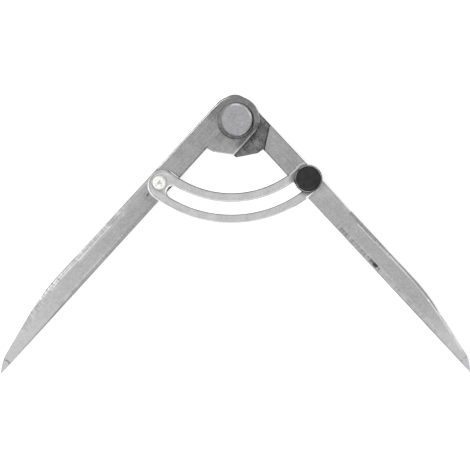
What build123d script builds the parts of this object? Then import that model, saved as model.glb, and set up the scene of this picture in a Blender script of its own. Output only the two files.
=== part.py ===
"""Wing divider, lying on its back with the legs spread.

Millimetres. The pivot axis is the Z axis, the backs of both legs lie on Z = 0, the front
with the clamping knob faces +Z and the points reach towards -Y.
"""
import os
from math import atan2, cos, degrees, hypot, radians, sin, sqrt, tan

from build123d import *

os.makedirs("parts", exist_ok=True)

# Legs, measured along the line from the pivot to the point (u) and square to it
half_open = 42.9  # angle of each leg from the centre line, degrees
tip_reach = 185.6  # pivot to point; the closed divider is 200 mm long
leg_t = 6.0
left_outer = 13.4  # outer edge to the pivot-to-point line
right_outer = 12.45
left_inner = 1.25  # inner edge to the same line, level with the pivot
right_inner = 0.6
belly_start = 127.0  # where the outer edge begins to curve in
belly_end = 150.0
belly_drop = 2.6
point_start = (8.8, 5.0)  # back from the tip, and out from the line
point_bulge = (4.0, 2.6)
point_in = 0.9  # what the thickness loses on each face before the point
point_t = 0.6

# Half-lap head: a round eye with a straight side and a slanted end
eye_r = 13.45
peak = (8.0, 0.6)  # radius and rise of a low peak on the left eye, at its top when spread
lap_gap = 0.06
lobe_side = 13.05
lobe_corner = 14.7
lobe_knee = (21.0, 2.9)
lobe_root = 21.4
lobe_corner_r = 0.6
crown_blend_r = 10.0  # where the eye runs into the straight edges
left_lobe_short = 0.95  # ground off the left leg's lap, which lies on top
shoulder_u = 23.0  # slanted shoulder that stops the other leg's lap
shoulder_slope = 0.69
left_recess_long = 1.4  # the left leg's hidden recess takes the longer lap

# Bevels ground along the blade's edges, on both faces
bevel_start = 78.0
left_inner_bevel_start = 57.0
outer_bevel = (1.9, 0.95)  # width and depth
outer_bevel_end = 166.0
outer_bevel_run = (0.35, 0.72, 0.93)  # share of the width run out at the belly's ends and there
inner_bevel = (2.3, 0.8)
inner_bevel_run = 0.9
edge_break = 0.5  # small chamfer along the other edges and round the head

# Pivot rivet and the washer under its head, both set a little off centre in riveting
pivot_d = 8.0
pivot_head = (16.8, 17.8, 1.7)  # across, lengthwise and height: riveting left it a little oval
pivot_head_at = (0.9, 0.5)
pivot_head_chamfer = 0.5
pivot_washer_size = (19.8, 1.0)
pivot_washer_at = (0.4, 0.0)
pivot_washer_bore = 9.0
pivot_washer_chamfer = 0.35
pivot_sink = (12.0, 2.0)
pin_play = 0.05  # radial play of every turning fit
cut_past = 1.0  # how far a cut or a join reaches past the metal

# Wing: a flat arc with an arc slot
wing_rivet_at = (51.8, 7.1)  # along the left leg and outward from its line
clamp_at = (49.6, 7.3)  # the same on the right leg
wing_r = 60.4  # middle line of the arc
clamp_outside = 0.4  # the clamp screw stands this far outside the middle line
wing_w = 16.2
wing_t = 2.0
wing_edge = 0.4
slot_w = 6.8
rivet_end = 2.15  # centre of the rounded end, this far inside the rivet
clamp_end = 1.5
slot_start = 8.4  # slot's first centre seen from the rivet, degrees of arc
slot_stop = 1.2  # slot's last centre, this far short of the screw
slide_gap = 0.05  # between flat faces that slide on each other
stack_gap = 0.03

# Wing rivet
wing_rivet_d = 4.0
wing_rivet_head = (7.4, 1.1)
wing_rivet_chamfer = (0.7, 0.5)
wing_rivet_sink = (6.6, 1.3)
punch_r = 1.75
punch_depth = 0.4
punch_slope = 30.0  # degrees

# Clamp: screw, knurled head and plastic cap, with a washer on the wing
screw_d = 4.0
screw_end_z = 0.6
screw_chamfer = 0.4
clamp_washer_size = (12.6, 1.0)
knob_size = (15.6, 5.6)
knurl_count = 44
knurl_depth = 0.42
knob_chamfer = 0.55
cap_d = 13.5
cap_seat = 1.4
cap_rise = 1.0
cap_edge_r = 0.6

# Left leg's planes: u with the inward direction, and u with the height
leg_dir = Vector(-sin(radians(half_open)), -cos(radians(half_open)), 0)
leg_plane = Plane(origin=(0, 0, 0), x_dir=leg_dir, z_dir=(0, 0, 1))
side_plane = Plane(origin=(0, 0, 0), x_dir=leg_dir, z_dir=leg_dir.cross(Vector(0, 0, 1)))

# Heights of the stacked pieces
lap_z = (leg_t + lap_gap) / 2
pivot_head_z = leg_t + pivot_washer_size[1]
wing_z = leg_t + slide_gap
wing_top = wing_z + wing_t
rivet_head_z = wing_top + stack_gap
washer_z = wing_top + stack_gap
knob_z = washer_z + clamp_washer_size[1] + stack_gap
knob_top = knob_z + knob_size[1]
cap_z = knob_top - cap_seat


def leg_point(u, out, side):
    """Plan position of a point on a leg; side is -1 for the left leg and 1 for the right."""
    turn = radians(half_open)
    return Vector(side * (u * sin(turn) + out * cos(turn)), out * sin(turn) - u * cos(turn), 0)


rivet_pin = leg_point(*wing_rivet_at, -1)
clamp_pin = leg_point(*clamp_at, 1)

# Arc centre of the wing, found from its distances to the rivet and to the clamp screw
pin_span = hypot(clamp_pin.X - rivet_pin.X, clamp_pin.Y - rivet_pin.Y)
pin_dir = (clamp_pin - rivet_pin) / pin_span
across = (wing_r**2 - (wing_r + clamp_outside) ** 2 + pin_span**2) / (2 * pin_span)
rise = sqrt(wing_r**2 - across**2)
wing_centre = rivet_pin + pin_dir * across + Vector(-pin_dir.Y, pin_dir.X, 0) * rise


def arc_angle(pin):
    """Direction of a pin seen from the wing's arc centre, degrees."""
    return degrees(atan2(pin.Y - wing_centre.Y, pin.X - wing_centre.X))


def arc_turn(length):
    """Angle that a length takes on the wing's middle line, degrees."""
    return degrees(length / wing_r)


def edge_cutters(width, depth):
    """Two wedges, one for each face, that cut a bevel of this width and depth."""
    slope = depth / width
    for face_z, up in ((leg_t, 1), (0, -1)):
        Polygon(
            (width + cut_past, face_z + up * slope * cut_past),
            (-cut_past, face_z - up * (depth + slope * cut_past)),
            (-cut_past, face_z + up * slope * cut_past),
            align=None,
        )


def forge_leg(outer, inner, lobe_short, recess_long, inner_from, with_peak):
    """Leg forging drawn as the left leg, with its half-thickness lap at the front."""

    def inner_y(u):
        return -inner * (1 - u / tip_reach)

    def shoulder(y):
        return shoulder_u + recess_long + shoulder_slope * y

    inner_shoulder = shoulder(inner_y(shoulder_u))
    outer_shoulder = shoulder(-outer)
    root_u = lobe_root - lobe_short / 2
    side_y = lobe_side - lobe_short
    peak_u = (eye_r + peak[1] - peak[0]) * cos(radians(half_open))
    peak_out = peak_u * tan(radians(half_open))
    lap_end = inner_shoulder + cut_past
    point_u = tip_reach - point_start[0]
    bulge = (tip_reach - point_bulge[0], -point_bulge[1])
    belly_y = belly_drop - outer
    bevel_share = (outer_bevel_end - belly_end) / (point_u - belly_end)
    bevel_end_y = belly_y - (point_start[1] + belly_y) * bevel_share

    with BuildPart() as forging:
        # Blade at full thickness, from the shoulder to the point
        with BuildSketch(leg_plane):
            with BuildLine():
                back = Line((outer_shoulder, -outer), (belly_start, -outer))
                belly = TangentArc(back @ 1, (belly_end, belly_y), tangent=back % 1)
                taper = Line(belly @ 1, (point_u, -point_start[1]))
                tip = ThreePointArc(taper @ 1, bulge, (tip_reach, 0))
                front = Line(tip @ 1, (inner_shoulder, inner_y(inner_shoulder)))
                Line(front @ 1, back @ 0)
            make_face()
        extrude(amount=leg_t)

        # Lap over the other leg, reaching a little way into the blade
        with BuildSketch(leg_plane.offset(lap_z)):
            with BuildLine():
                top = Line((shoulder_u, -outer), (-sqrt(eye_r**2 - outer**2), -outer))
                eye_end = (-sqrt(eye_r**2 - side_y**2), side_y)
                crown = ThreePointArc(top @ 1, (-eye_r, 0), eye_end)
                lobe = Line(crown @ 1, (lobe_corner - lobe_short, side_y))
                end = Line(lobe @ 1, (lobe_knee[0] - lobe_short, lobe_knee[1]))
                root = Line(end @ 1, (root_u, inner_y(root_u)))
                joined = Line(root @ 1, (lap_end, inner_y(lap_end)))
                Line(joined @ 1, top @ 0)
            make_face()
            fillet(vertices().sort_by_distance(lobe @ 1)[0], lobe_corner_r)
            for corner in (top @ 1, crown @ 1):
                fillet(vertices().sort_by_distance(corner)[0], crown_blend_r)
            if with_peak:
                with Locations((-peak_u, -peak_out)):
                    Circle(peak[0])
        extrude(amount=leg_t - lap_z)

        # Broken edges on both faces, all but the shoulder's
        lap_face_edges = faces().sort_by(Axis.Z)[-1].edges()
        blade_face_edges = faces().sort_by(Axis.Z)[0].edges().sort_by_distance((0, 0, 0))[1:]
        chamfer(lap_face_edges + blade_face_edges, edge_break)

        # Side view: an even bar that thins gently, then comes to the point
        with BuildSketch(side_plane):
            with BuildLine():
                low = Line((-eye_r - cut_past, 0), (belly_start, 0))
                low_sweep = TangentArc(low @ 1, (point_u, point_in), tangent=low % 1)
                low_tip = Line(low_sweep @ 1, (tip_reach, (leg_t - point_t) / 2))
                nose = Line(low_tip @ 1, (tip_reach, (leg_t + point_t) / 2))
                high_tip = Line(nose @ 1, (point_u, leg_t - point_in))
                high_sweep = TangentArc((belly_start, leg_t), high_tip @ 1, tangent=(1, 0))
                high = Line(high_sweep @ 0, (-eye_r - cut_past, leg_t))
                Line(high @ 1, low @ 0)
            make_face()
        extrude(amount=2 * outer, both=True, mode=Mode.INTERSECT)

        # Outer bevel, running out where the belly curves in
        outer_start = leg_plane.from_local_coords((bevel_start, -outer, 0))
        with BuildLine(leg_plane) as outer_path:
            Spline(
                (bevel_start, -outer),
                (belly_start, -outer - outer_bevel[0] * outer_bevel_run[0]),
                (belly_end, belly_y - outer_bevel[0] * outer_bevel_run[1]),
                (outer_bevel_end, bevel_end_y - outer_bevel[0] * outer_bevel_run[2]),
            )
        with BuildSketch(Plane(outer_start, x_dir=leg_plane.y_dir, z_dir=leg_plane.x_dir)):
            edge_cutters(*outer_bevel)
        sweep(path=outer_path.wires()[0], mode=Mode.SUBTRACT)

        # Inner bevel, narrowing evenly towards the point
        inner_start = leg_plane.from_local_coords((inner_from, inner_y(inner_from), 0))
        with BuildLine(leg_plane) as inner_path:
            Line((inner_from, inner_y(inner_from)), (tip_reach, inner_bevel[0] * inner_bevel_run))
        with BuildSketch(Plane(inner_start, x_dir=-leg_plane.y_dir, z_dir=-leg_plane.x_dir)):
            edge_cutters(*inner_bevel)
        sweep(path=inner_path.wires()[0], mode=Mode.SUBTRACT)
    return forging.part


# Left leg: carries both rivets
with BuildPart() as left_leg:
    add(
        forge_leg(
            left_outer, left_inner, left_lobe_short, left_recess_long, left_inner_bevel_start, True
        )
    )
    Hole(pivot_d / 2)
    with Locations(rivet_pin):
        Hole(wing_rivet_d / 2)
    with Locations(rivet_pin + Vector(0, 0, wing_rivet_sink[1] / 2)):
        Cone(wing_rivet_sink[0] / 2, wing_rivet_d / 2, wing_rivet_sink[1], mode=Mode.SUBTRACT)
left_leg.part.label = "left_leg"
export_step(left_leg.part, "parts/left_leg.step")

# Right leg: the forging turned over, so that its lap lies at the back
right_forging = forge_leg(right_outer, right_inner, 0, 0, bevel_start, False)
with BuildPart() as right_leg:
    add(right_forging.rotate(Axis.Y, 180).moved(Location((0, 0, leg_t))))
    Hole(pivot_d / 2 + pin_play)
    with Locations((0, 0, pivot_sink[1] / 2)):
        sink_r = pivot_sink[0] / 2 + pin_play
        Cone(sink_r, pivot_d / 2 + pin_play, pivot_sink[1], mode=Mode.SUBTRACT)
    # Threaded hole of the clamp screw, drawn smooth
    with Locations(clamp_pin):
        Hole(screw_d / 2 + pin_play)
right_leg.part.label = "right_leg"
export_step(right_leg.part, "parts/right_leg.step")

# Pivot rivet: turned head at the front, tail riveted flush into the back
with BuildPart() as pivot_rivet:
    with BuildSketch(Plane.XZ):
        with BuildLine():
            Polyline(
                (0, 0),
                (pivot_sink[0] / 2, 0),
                (pivot_d / 2, pivot_sink[1]),
                (pivot_d / 2, pivot_head_z),
                (0, pivot_head_z),
                close=True,
            )
        make_face()
    revolve(axis=Axis.Z)
    with BuildSketch(Plane.XY.offset(pivot_head_z)):
        with Locations(pivot_head_at):
            Ellipse(pivot_head[0] / 2, pivot_head[1] / 2)
    extrude(amount=pivot_head[2])
    chamfer(pivot_rivet.edges().group_by(Axis.Z)[-1], pivot_head_chamfer)
pivot_rivet.part.label = "pivot_rivet"
export_step(pivot_rivet.part, "parts/pivot_rivet.step")

with BuildPart() as pivot_washer:
    with BuildSketch(Plane.XY.offset(leg_t)):
        with Locations(pivot_washer_at):
            Circle(pivot_washer_size[0] / 2)
            Circle(pivot_washer_bore / 2, mode=Mode.SUBTRACT)
    extrude(amount=pivot_washer_size[1])
    top_rim = pivot_washer.edges().group_by(Axis.Z)[-1].sort_by(SortBy.LENGTH)[-1]
    chamfer(top_rim, pivot_washer_chamfer)
pivot_washer.part.label = "pivot_washer"
export_step(pivot_washer.part, "parts/pivot_washer.step")

# Wing: rounded ends, broken front edges, arc slot for the clamp screw
with BuildPart() as wing:
    wing_from = arc_angle(rivet_pin) + arc_turn(rivet_end)
    wing_to = arc_angle(clamp_pin) - arc_turn(clamp_end)
    slot_from = arc_angle(rivet_pin) + slot_start
    slot_to = arc_angle(clamp_pin) - arc_turn(slot_stop)
    wing_arc = Edge.make_circle(wing_r, Plane(wing_centre), wing_from, wing_to)
    slot_arc = Edge.make_circle(wing_r, Plane(wing_centre), slot_from, slot_to)
    with BuildSketch(Plane.XY.offset(wing_z)):
        SlotArc(wing_arc, wing_w)
        SlotArc(slot_arc, slot_w, mode=Mode.SUBTRACT)
    extrude(amount=wing_t)
    chamfer(wing.faces().sort_by(Axis.Z)[-1].edges(), wing_edge)
    with Locations(rivet_pin):
        Hole(wing_rivet_d / 2 + pin_play)
wing.part.label = "wing"
export_step(wing.part, "parts/wing.step")

# Wing rivet: low chamfered head with a three-sided punch mark, tail flush in the leg
with BuildPart() as wing_rivet:
    with BuildSketch(Plane((rivet_pin.X, rivet_pin.Y, 0), z_dir=(0, -1, 0), x_dir=(1, 0, 0))):
        with BuildLine():
            Polyline(
                (0, 0),
                (wing_rivet_sink[0] / 2, 0),
                (wing_rivet_d / 2, wing_rivet_sink[1]),
                (wing_rivet_d / 2, rivet_head_z),
                (wing_rivet_head[0] / 2, rivet_head_z),
                (wing_rivet_head[0] / 2, rivet_head_z + wing_rivet_head[1] - wing_rivet_chamfer[1]),
                (wing_rivet_head[0] / 2 - wing_rivet_chamfer[0], rivet_head_z + wing_rivet_head[1]),
                (0, rivet_head_z + wing_rivet_head[1]),
                close=True,
            )
        make_face()
    revolve(axis=Axis(rivet_pin, (0, 0, 1)))
    with BuildSketch(Plane.XY.offset(rivet_head_z + wing_rivet_head[1])):
        with Locations(rivet_pin):
            RegularPolygon(punch_r, 3, rotation=90)
    extrude(amount=-punch_depth, taper=punch_slope, mode=Mode.SUBTRACT)
wing_rivet.part.label = "wing_rivet"
export_step(wing_rivet.part, "parts/wing_rivet.step")

with BuildPart() as clamp_washer:
    with BuildSketch(Plane.XY.offset(washer_z)):
        with Locations(clamp_pin):
            Circle(clamp_washer_size[0] / 2)
            Circle(screw_d / 2 + pin_play, mode=Mode.SUBTRACT)
    extrude(amount=clamp_washer_size[1])
clamp_washer.part.label = "clamp_washer"
export_step(clamp_washer.part, "parts/clamp_washer.step")

with BuildPart() as clamp_screw:
    with BuildSketch(Plane.XY.offset(screw_end_z)):
        with Locations(clamp_pin):
            Circle(screw_d / 2)
    extrude(amount=cap_z - screw_end_z)
    chamfer(clamp_screw.edges().group_by(Axis.Z)[0], screw_chamfer)
clamp_screw.part.label = "clamp_screw"
export_step(clamp_screw.part, "parts/clamp_screw.step")

# Knurled head pressed on the screw, recessed at the top for the cap
with BuildPart() as knob:
    with BuildSketch(Plane.XY.offset(knob_z)):
        with Locations(clamp_pin):
            Circle(knob_size[0] / 2)
            with PolarLocations(knob_size[0] / 2, knurl_count):
                RegularPolygon(knurl_depth * sqrt(2), 4, mode=Mode.SUBTRACT)
    extrude(amount=knob_size[1])
    with BuildSketch(Plane((clamp_pin.X, clamp_pin.Y, 0), z_dir=(0, -1, 0), x_dir=(1, 0, 0))):
        with BuildLine():
            Polyline(
                (0, knob_z),
                (knob_size[0] / 2 - knob_chamfer, knob_z),
                (knob_size[0] / 2, knob_z + knob_chamfer),
                (knob_size[0] / 2, knob_top - knob_chamfer),
                (knob_size[0] / 2 - knob_chamfer, knob_top),
                (0, knob_top),
                close=True,
            )
        make_face()
    revolve(axis=Axis(clamp_pin, (0, 0, 1)), mode=Mode.INTERSECT)
    with Locations(clamp_pin + Vector(0, 0, knob_top)):
        CounterBoreHole(screw_d / 2, cap_d / 2, cap_seat)
knob.part.label = "knob"
export_step(knob.part, "parts/knob.step")

with BuildPart() as knob_cap:
    with BuildSketch(Plane.XY.offset(cap_z)):
        with Locations(clamp_pin):
            Circle(cap_d / 2)
    extrude(amount=cap_seat + cap_rise)
    fillet(knob_cap.edges().group_by(Axis.Z)[-1], cap_edge_r)
knob_cap.part.label = "knob_cap"
export_step(knob_cap.part, "parts/knob_cap.step")
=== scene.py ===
import math

import bmesh
import bpy
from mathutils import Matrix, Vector


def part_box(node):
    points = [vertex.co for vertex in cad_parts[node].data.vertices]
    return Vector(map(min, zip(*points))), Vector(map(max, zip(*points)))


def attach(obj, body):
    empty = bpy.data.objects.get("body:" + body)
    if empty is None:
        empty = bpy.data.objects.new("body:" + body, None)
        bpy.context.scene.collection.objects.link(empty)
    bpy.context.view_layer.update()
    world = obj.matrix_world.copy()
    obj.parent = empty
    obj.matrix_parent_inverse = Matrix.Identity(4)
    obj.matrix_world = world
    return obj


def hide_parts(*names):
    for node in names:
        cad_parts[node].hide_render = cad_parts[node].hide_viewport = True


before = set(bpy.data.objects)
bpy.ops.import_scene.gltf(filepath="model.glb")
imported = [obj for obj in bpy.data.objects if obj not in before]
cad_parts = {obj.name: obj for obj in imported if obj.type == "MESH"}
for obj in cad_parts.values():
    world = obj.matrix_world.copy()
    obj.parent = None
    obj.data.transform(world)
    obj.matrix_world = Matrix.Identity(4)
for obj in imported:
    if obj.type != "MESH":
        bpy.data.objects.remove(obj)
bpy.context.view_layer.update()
millimetre = 0.001
print("frame loaded:", len(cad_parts), "nodes")


def linear(hexColour):
    channels = [int(hexColour[i:i + 2], 16) / 255 for i in (1, 3, 5)]
    return [c / 12.92 if c <= 0.04045 else ((c + 0.055) / 1.055) ** 2.4 for c in channels] + [1.0]


def addNode(tree, kind, settings=None, inputs=None):
    node = tree.nodes.new(kind)
    for name, value in (settings or {}).items():
        setattr(node, name, value)
    for socket, value in (inputs or {}).items():
        if isinstance(value, bpy.types.NodeSocket):
            tree.links.new(value, node.inputs[socket])
        else:
            node.inputs[socket].default_value = value
    return node


def newMaterial(name, metallic, roughness):
    material = bpy.data.materials.new(name)
    material.use_nodes = True
    tree = material.node_tree
    tree.nodes.clear()
    finish = {"Metallic": metallic, "Roughness": roughness}
    shader = addNode(tree, "ShaderNodeBsdfPrincipled", inputs=finish)
    addNode(tree, "ShaderNodeOutputMaterial", inputs={"Surface": shader.outputs[0]})
    return material, tree, shader


def inMillimetres(tree, centre=(0, 0, 0)):
    # place on the object, in millimetres from the centre
    place = addNode(tree, "ShaderNodeTexCoord")
    moved = addNode(tree, "ShaderNodeVectorMath", {"operation": "MULTIPLY_ADD"},
                    {0: place.outputs["Object"], 1: [1 / millimetre] * 3, 2: [-c for c in centre]})
    return moved.outputs[0]


def grains(tree, place, size, detail=2.0, seed=0.0):
    # noise from -1 to 1 whose grains have this size in millimetres, one for all directions or one for each
    sizes = size if isinstance(size, tuple) else (size,) * 3
    scaled = addNode(tree, "ShaderNodeVectorMath", {"operation": "MULTIPLY_ADD"},
                     {0: place, 1: [1 / s for s in sizes], 2: [seed] * 3})
    noise = addNode(tree, "ShaderNodeTexNoise",
                    inputs={"Vector": scaled.outputs[0], "Scale": 1.0, "Detail": detail})
    spread = addNode(tree, "ShaderNodeMapRange",
                     inputs={0: noise.outputs[0], 1: 0.3, 2: 0.7, 3: -1.0, 4: 1.0})
    return spread.outputs[0]


def times(tree, *values):
    product = values[0]
    for value in values[1:]:
        step = addNode(tree, "ShaderNodeMath", {"operation": "MULTIPLY"}, {0: product, 1: value})
        product = step.outputs[0]
    return product


def fade(tree, value, start, end):
    # from 0 at the start to 1 at the end
    return addNode(tree, "ShaderNodeMapRange", {"interpolation_type": "SMOOTHSTEP"},
                   {0: value, 1: start, 2: end}).outputs[0]


def band(tree, value, low, high, soft):
    # 1 between low and high, fading over the soft width on each side
    return times(tree, fade(tree, value, low - soft, low), fade(tree, value, high + soft, high))


def layered(tree, start, layers):
    # start plus every layer times its weight
    total = start
    for layer, weight in layers:
        step = addNode(tree, "ShaderNodeMath", {"operation": "MULTIPLY_ADD"},
                       {0: layer, 1: weight, 2: total})
        total = step.outputs[0]
    return total


def ramps(tree, value, points):
    # straight runs from point to point, each point a value and its result
    total = points[0][1]
    for (start, before), (end, after) in zip(points, points[1:]):
        ramp = addNode(tree, "ShaderNodeMapRange", inputs={0: value, 1: start, 2: end}).outputs[0]
        total = layered(tree, total, [(ramp, after - before)])
    return total


def flatRadius(tree, place):
    # distance from the upright line through the place's origin
    flat = addNode(tree, "ShaderNodeVectorMath", {"operation": "MULTIPLY"}, {0: place, 1: (1, 1, 0)})
    length = addNode(tree, "ShaderNodeVectorMath", {"operation": "LENGTH"}, {0: flat.outputs[0]})
    return length.outputs["Value"]


def towards(tree, place, degrees):
    # how far a place lies towards the side at this angle from +X
    side = math.radians(degrees)
    reach = addNode(tree, "ShaderNodeVectorMath", {"operation": "DOT_PRODUCT"},
                    {0: place, 1: (math.cos(side), math.sin(side), 0)})
    return reach.outputs["Value"]


def tinted(tree, shader, tone, values):
    # colour between the dark and the light one, as the tone runs from 0 to 1
    mix = addNode(tree, "ShaderNodeMix", {"data_type": "RGBA"},
                  {0: tone, 6: linear(values["darkHex"]), 7: linear(values["lightHex"])})
    tree.links.new(mix.outputs[2], shader.inputs["Base Color"])


def bumped(tree, shader, height, depth):
    # depth in millimetres for a height of 1
    bump = addNode(tree, "ShaderNodeBump", inputs={"Height": height, "Distance": depth * millimetre})
    tree.links.new(bump.outputs[0], shader.inputs["Normal"])


# Camera: straight above the front, from far off
photoView = {
    "width": 0.25199,
    "centre": (-0.00016, -0.06125),
    "level": 0.006,
    "roll": -0.16,  # degrees
    "lens": 300.0,
    "sensor": 36.0,
    "clip": (0.01, 10.0),  # shares of the camera's distance
}


def makeCamera(values):
    data = bpy.data.cameras.new("camera")
    data.lens = values["lens"]
    data.sensor_width = values["sensor"]
    distance = values["width"] * values["lens"] / values["sensor"]
    data.clip_start, data.clip_end = (distance * share for share in values["clip"])
    camera = bpy.data.objects.new("camera", data)
    camera.location = (*values["centre"], values["level"] + distance)
    camera.rotation_euler.z = math.radians(values["roll"])
    bpy.context.scene.collection.objects.link(camera)
    bpy.context.scene.camera = camera


makeCamera(photoView)
print("camera placed")

# Studio: floor of matt pale paper, with a glow that only the camera and glossy things see and that makes it
# white, a big soft lamp overhead, a key lamp at the left and a room darker to the upper right
studio = {
    "floorSize": 8.0,
    "floorBelow": 0.1,  # mm under the object
    "floorHex": "#E8E8E8",
    "floorGlow": 0.62,
    "roomBright": 0.95,
    "roomDark": 0.28,
    "roomBrightSide": 205,  # degrees from +X
    "roomSoft": 0.35,  # how far to each side the bright and the dark half run into each other
    "lamps": {
        "overhead": {"from": (-0.1, -0.05, 1.3), "size": 1.5, "watts": 6.0},
        "key": {"from": (-1.15, 0.3, 0.9), "size": 1.0, "watts": 7.0},
    },
}


def makeFloor(values):
    half = values["floorSize"] / 2
    corners = [(-half, -half, 0), (half, -half, 0), (half, half, 0), (-half, half, 0)]
    mesh = bpy.data.meshes.new("floor")
    mesh.from_pydata(corners, [], [(0, 1, 2, 3)])
    floor = bpy.data.objects.new("floor", mesh)
    floor.location.z = -values["floorBelow"] * millimetre
    bpy.context.scene.collection.objects.link(floor)
    material = bpy.data.materials.new("matt white paper")
    material.use_nodes = True
    tree = material.node_tree
    tree.nodes.clear()
    paper = addNode(tree, "ShaderNodeBsdfDiffuse", inputs={"Color": linear(values["floorHex"])})
    ray = addNode(tree, "ShaderNodeLightPath")
    seen = ray.outputs["Is Camera Ray"]
    for kind in ("Is Glossy Ray", "Is Transmission Ray"):
        either = addNode(tree, "ShaderNodeMath", {"operation": "MAXIMUM"}, {0: seen, 1: ray.outputs[kind]})
        seen = either.outputs[0]
    strength = times(tree, seen, values["floorGlow"])
    glow = addNode(tree, "ShaderNodeEmission", inputs={"Strength": strength})
    both = addNode(tree, "ShaderNodeAddShader", inputs={0: paper.outputs[0], 1: glow.outputs[0]})
    addNode(tree, "ShaderNodeOutputMaterial", inputs={"Surface": both.outputs[0]})
    mesh.materials.append(material)


def makeWorld(values):
    world = bpy.data.worlds.new("studio")
    world.use_nodes = True
    tree = world.node_tree
    tree.nodes.clear()
    ray = addNode(tree, "ShaderNodeLightPath")
    direction = addNode(tree, "ShaderNodeTexCoord").outputs["Generated"]
    side = towards(tree, direction, values["roomBrightSide"])
    room = addNode(tree, "ShaderNodeMapRange",
                   inputs={0: side, 1: -values["roomSoft"], 2: values["roomSoft"],
                           3: values["roomDark"], 4: values["roomBright"]})
    shade = addNode(tree, "ShaderNodeMix", {"data_type": "FLOAT"},
                    {0: ray.outputs["Is Camera Ray"], 2: room.outputs[0], 3: 1.0})
    white = (1, 1, 1, 1)
    sky = addNode(tree, "ShaderNodeBackground", inputs={"Color": white, "Strength": shade.outputs[0]})
    addNode(tree, "ShaderNodeOutputWorld", inputs={"Surface": sky.outputs[0]})
    bpy.context.scene.world = world


def makeLamps(values, aim):
    for name, lamp in values["lamps"].items():
        data = bpy.data.lights.new(name, "AREA")
        data.shape = "SQUARE"
        data.size = lamp["size"]
        data.energy = lamp["watts"]
        light = bpy.data.objects.new(name, data)
        light.location = lamp["from"]
        light.rotation_euler = (aim - light.location).to_track_quat("-Z", "Y").to_euler()
        light.visible_camera = False
        bpy.context.scene.collection.objects.link(light)


makeFloor(studio)
makeWorld(studio)
makeLamps(studio, Vector((*photoView["centre"], 0)))
bpy.context.scene.view_settings.view_transform = "Standard"
print("studio set")

# Legs: forged carbon steel, ground flat and then handled for years, so it is satin with a fine speckle,
# stained round the head, and painted light makes it paler towards the points. Lengths are in millimetres.
legSteel = {
    "halfOpen": 42.9,  # degrees
    "darkHex": "#3A3A3B",
    "lightHex": "#FAFAFA",
    "roughness": 0.36,
    "brushGrain": (25.0, 0.5, 0.5),  # a scratch's length and width, drawn wider than real to show
    "brushTone": 0.027,
    "mottleSize": 7.0,
    "mottleTone": 0.018,
    "fineSize": 0.95,
    "fineTone": 0.044,
    "driftScale": 0.7,  # slow noise that shifts the marks, waves a millimetre
    "drift": (2.0, 0.5, 0.0),  # how far it shifts them along and across
    "gapGrain": (0.8, 5.0, 5.0),  # what breaks up the lines
    "gapWeight": 0.5,
    "barGrain": (0.6, 5.0, 5.0),  # bars that the grinding wheel left across the bevels
    "lineEnds": 1.5,  # lines and chatter fade over these lengths at their ends
    "chatterEnds": 3.0,
    "chatterSoft": 0.2,
    "outerFrom": 6.0,  # lines further out than this follow the outer edge
    "outerFade": (2.0, 3.0),  # and end where they come this far in across the leg
    "bevelFacing": {"inner": (-0.9, -0.2, 0.05), "outer": (0.2, 0.9, 0.05)},  # outward part of the normal, where the bevels get painted light
    "endFacing": (0.2, 0.9, 0.05),  # the lap's slanted end, which gets painted light: endward part of the normal
    "endReach": (26.0, 24.0),  # no other slanted face lies as near to the pivot
    "topFacing": (0.1, 0.3),  # upward part of the normal from which marks show
    "bump": {"brush": 0.7, "fine": 0.5, "depth": 0.006},
}
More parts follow.
